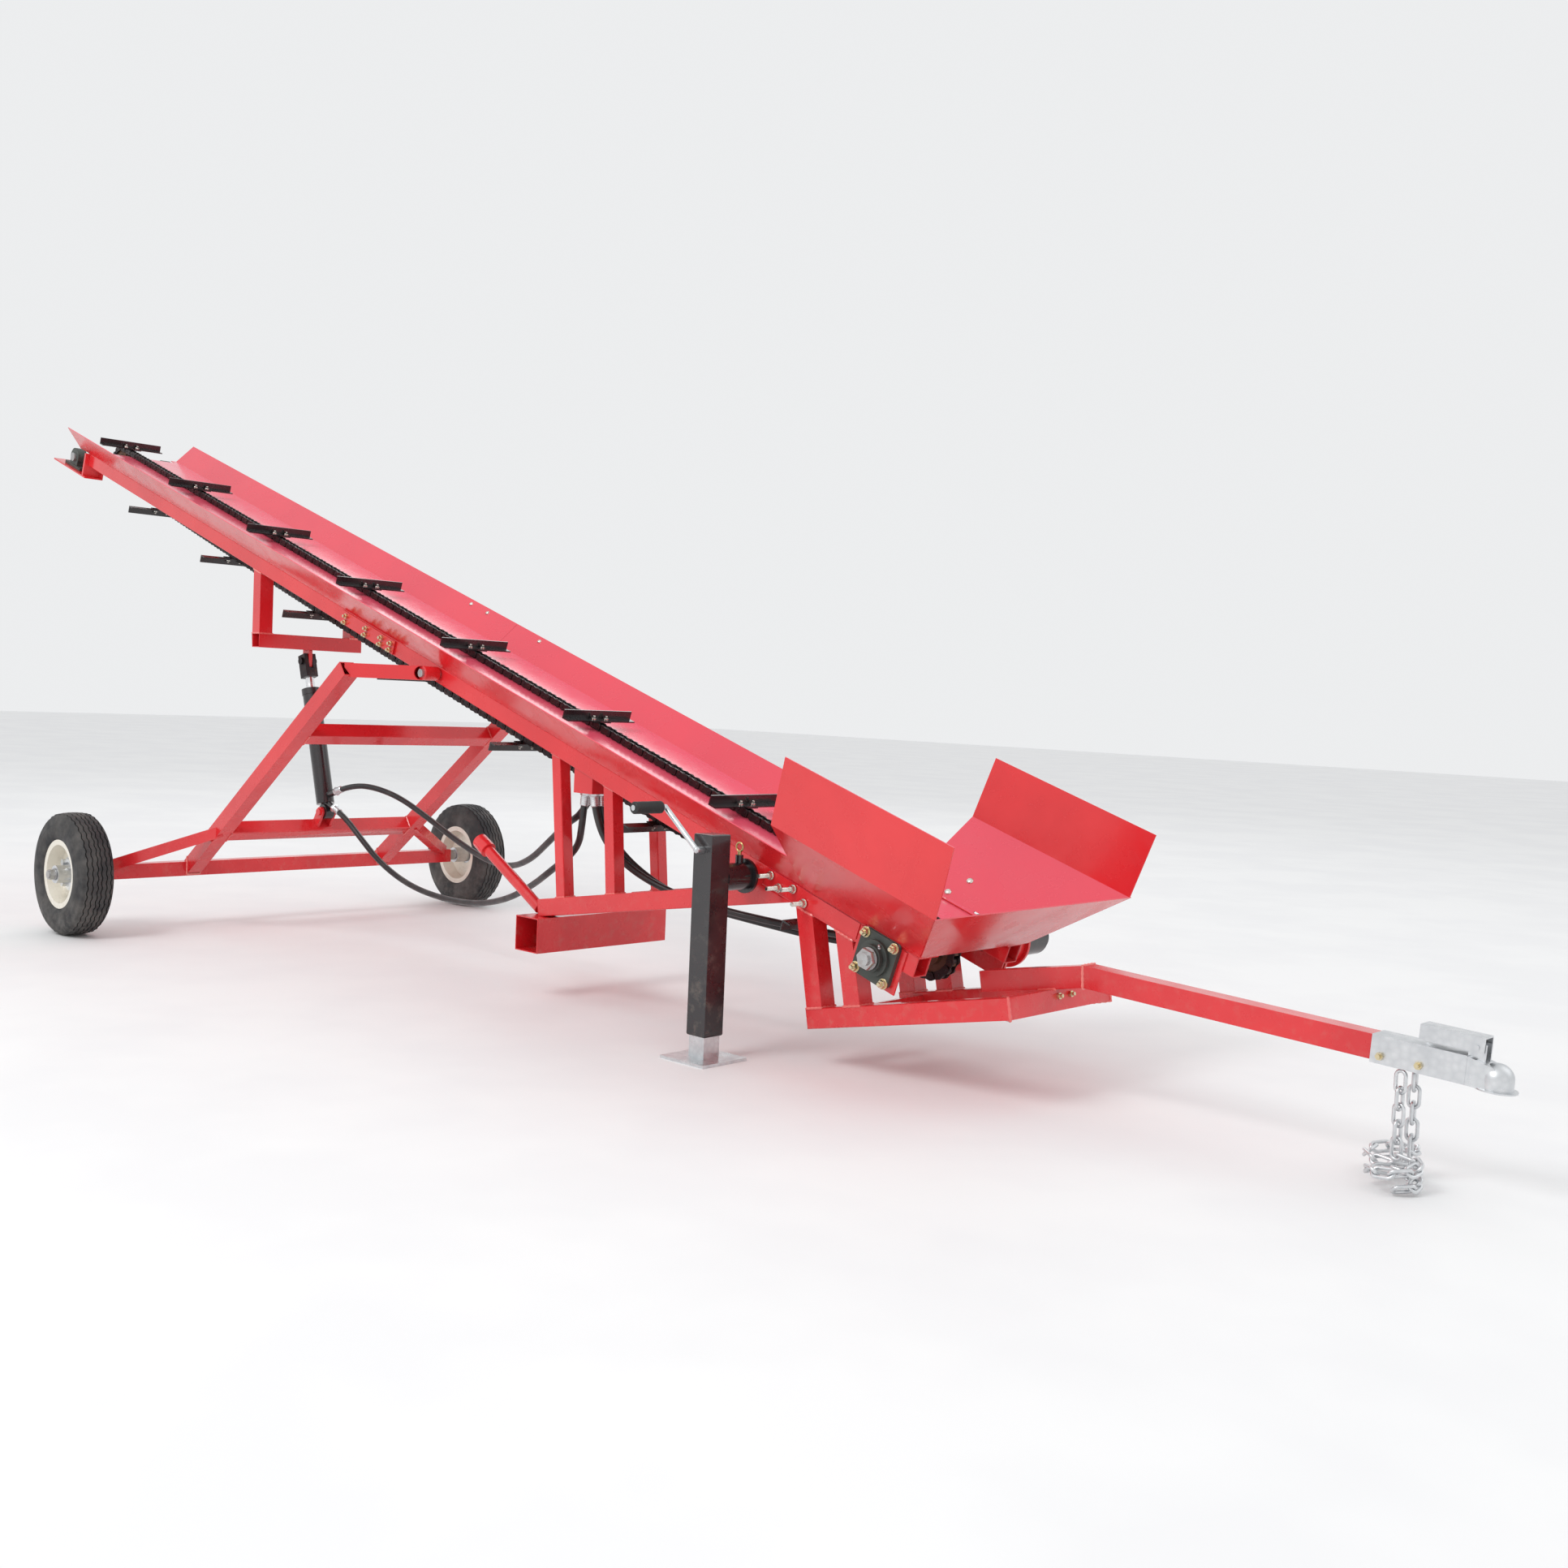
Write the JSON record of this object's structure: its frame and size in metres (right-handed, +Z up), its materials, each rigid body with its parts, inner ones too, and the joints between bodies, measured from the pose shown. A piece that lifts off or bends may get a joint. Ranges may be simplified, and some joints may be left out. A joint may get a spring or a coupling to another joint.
{
  "type": "towable chain conveyor",
  "caption": "Towable inclined chain-and-flight conveyor: open trough, low-end hopper, wheeled lift frame with hydraulic cylinder, side-wind jack and ball coupler.",
  "frame": {"origin": "on the ground, centre of the bounding box measured without the hoses", "axes": "+X points at the hitch coupler (the low end), +Y to the far side with the hydraulic motor, +Z up"},
  "size_m": [6.0462, 1.784, 1.9046],
  "materials": {
    "red_paint": "gloss",
    "black_paint": "satin",
    "cream_paint": "gloss",
    "zinc": "satin",
    "steel": "satin",
    "yellow_zinc": "satin",
    "bearing_green": "satin",
    "rusty_plate": "matte",
    "hose_rubber": "matte",
    "tyre": "matte",
    "grip_plastic": "matte",
    "brass": "satin"
  },
  "bodies": {
    "frame": {"bed_rails": "red_paint", "bed_cross_tubes": "red_paint", "trough_pans": "red_paint", "side_plates": "red_paint", "hopper_sides": "red_paint", "hopper_apron": "red_paint", "drive_bearings": "bearing_green", "takeup_brackets": "red_paint", "rear_stand": "red_paint", "fork_cross_tube": "red_paint", "front_stand": "red_paint", "tongue": "red_paint", "coupler_shell": "zinc", "hanging_bracket": "red_paint", "pivot_pins": "steel", "jack_stub": "red_paint", "motor_mount": "red_paint", "hydraulic_motor": "black_paint", "prop_tube": "red_paint", "hose_clamp": "red_paint", "hose_lift_rod": "hose_rubber", "hose_lift_base": "hose_rubber", "hose_motor_feed": "hose_rubber", "hose_motor_return": "hose_rubber", "safety_chains": "zinc", "frame_fasteners": "yellow_zinc"},
    "axle_frame": {"axle_beam": "red_paint", "axle_trusses": "red_paint", "axle_crossbars": "red_paint", "pivot_arms": "red_paint", "cylinder_ears": "red_paint", "spindles": "steel"},
    "wheel_near": {"tyre_near": "tyre", "rim_near": "cream_paint", "hub_near": "steel"},
    "wheel_far": {"tyre_far": "tyre", "rim_far": "cream_paint", "hub_far": "steel"},
    "cylinder": {"cylinder_barrel": "black_paint"},
    "ram": {"cylinder_rod": "steel", "rod_clevis": "steel"},
    "drive": {"drive_shaft": "steel", "drive_sprocket": "rusty_plate", "chain_wrap_drive": "steel"},
    "takeup": {"tail_bearings": "bearing_green"},
    "tail": {"tail_shaft": "steel", "tail_sprocket": "rusty_plate", "chain_wrap_tail": "steel"},
    "chain_up": {"chain_upper": "steel", "flights_upper": "black_paint"},
    "chain_down": {"chain_return": "steel", "flights_return": "black_paint"},
    "jack": {"jack_tube": "black_paint", "jack_bracket": "black_paint"},
    "jack_pin": {"jack_pull_pin": "brass"},
    "jack_inner": {"jack_leg": "black_paint"},
    "crank": {"jack_crank": "zinc"},
    "grip": {"crank_grip": "grip_plastic"},
    "latch": {"latch_lever": "zinc"}
  },
  "joints": [
    {"name": "lift", "type": "hinge", "parent": "frame", "child": "axle_frame", "pos_m": [-0.1832, 0, 0.934], "axis": [0, -1, 0], "range_deg": [0, 13.5], "deforming": ["hose_lift_rod", "hose_lift_base"]},
    {"name": "wheel_near_spin", "type": "hinge", "parent": "axle_frame", "child": "wheel_near", "pos_m": [-1.4052, -0.806, 0.208], "axis": [0, 1, 0], "continuous": true},
    {"name": "wheel_far_spin", "type": "hinge", "parent": "axle_frame", "child": "wheel_far", "pos_m": [-1.4052, 0.806, 0.208], "axis": [0, 1, 0], "continuous": true},
    {"name": "cylinder_tilt", "type": "hinge", "parent": "axle_frame", "child": "cylinder", "pos_m": [-1.1532, 0, 0.421], "axis": [0, -1, 0], "range_deg": [-7.87, 0]},
    {"name": "rod_slide", "type": "slide", "parent": "cylinder", "child": "ram", "axis": [-0.2817, 0, 0.9595], "range_m": [0, 0.2495]},
    {"name": "drive_spin", "type": "hinge", "parent": "frame", "child": "drive", "pos_m": [1.63645, 0, 0.29997], "axis": [0, 1, 0], "range_deg": [-22.5, 22.5]},
    {"name": "chain_up_slide", "type": "slide", "parent": "frame", "child": "chain_up", "axis": [0.9489, 0, -0.3155], "range_m": [-0.0257, 0.0257]},
    {"name": "chain_down_slide", "type": "slide", "parent": "frame", "child": "chain_down", "axis": [0.9489, 0, -0.3155], "range_m": [-0.0257, 0.0257]},
    {"name": "takeup_slide", "type": "slide", "parent": "frame", "child": "takeup", "axis": [-0.9489, 0, 0.3155], "range_m": [0, 0.04]},
    {"name": "tail_spin", "type": "hinge", "parent": "takeup", "child": "tail", "pos_m": [-2.87078, 0, 1.79846], "axis": [0, 1, 0], "range_deg": [-22.6, 22.6]},
    {"name": "jack_swivel", "type": "hinge", "parent": "frame", "child": "jack", "pos_m": [1.2228, -0.372, 0.452], "axis": [0, 1, 0], "range_deg": [0, 90]},
    {"name": "pull_pin", "type": "slide", "parent": "jack", "child": "jack_pin", "axis": [0, 0, 1], "range_m": [0, 0.012], "stiffness_N_per_m": 600, "springref_m": -0.006},
    {"name": "jack_crank_turn", "type": "hinge", "parent": "jack", "child": "crank", "pos_m": [1.2228, -0.372, 0.524], "axis": [0, 1, 0], "range_deg": [0, 14400]},
    {"name": "jack_extend", "type": "slide", "parent": "jack", "child": "jack_inner", "axis": [0, 0, -1], "range_m": [0, 0.2542]},
    {"name": "grip_spin", "type": "hinge", "parent": "crank", "child": "grip", "pos_m": [1.1048, -0.48, 0.62], "axis": [0, 1, 0], "continuous": true},
    {"name": "latch_hinge", "type": "hinge", "parent": "frame", "child": "latch", "pos_m": [2.95107, 0, 0.29631], "axis": [0, 1, 0], "range_deg": [0, 75]}
  ],
  "couplings": [
    {"joint": "cylinder_tilt", "follows": "lift", "ratio": -0.5794},
    {"joint": "rod_slide", "follows": "lift", "m_per_rad": 1.0566},
    {"joint": "chain_up_slide", "follows": "drive_spin", "m_per_rad": 0.065098},
    {"joint": "chain_down_slide", "follows": "drive_spin", "m_per_rad": -0.065098},
    {"joint": "tail_spin", "follows": "drive_spin", "ratio": 1},
    {"joint": "jack_extend", "follows": "jack_crank_turn", "m_per_rad": 0.0010106}
  ]
}
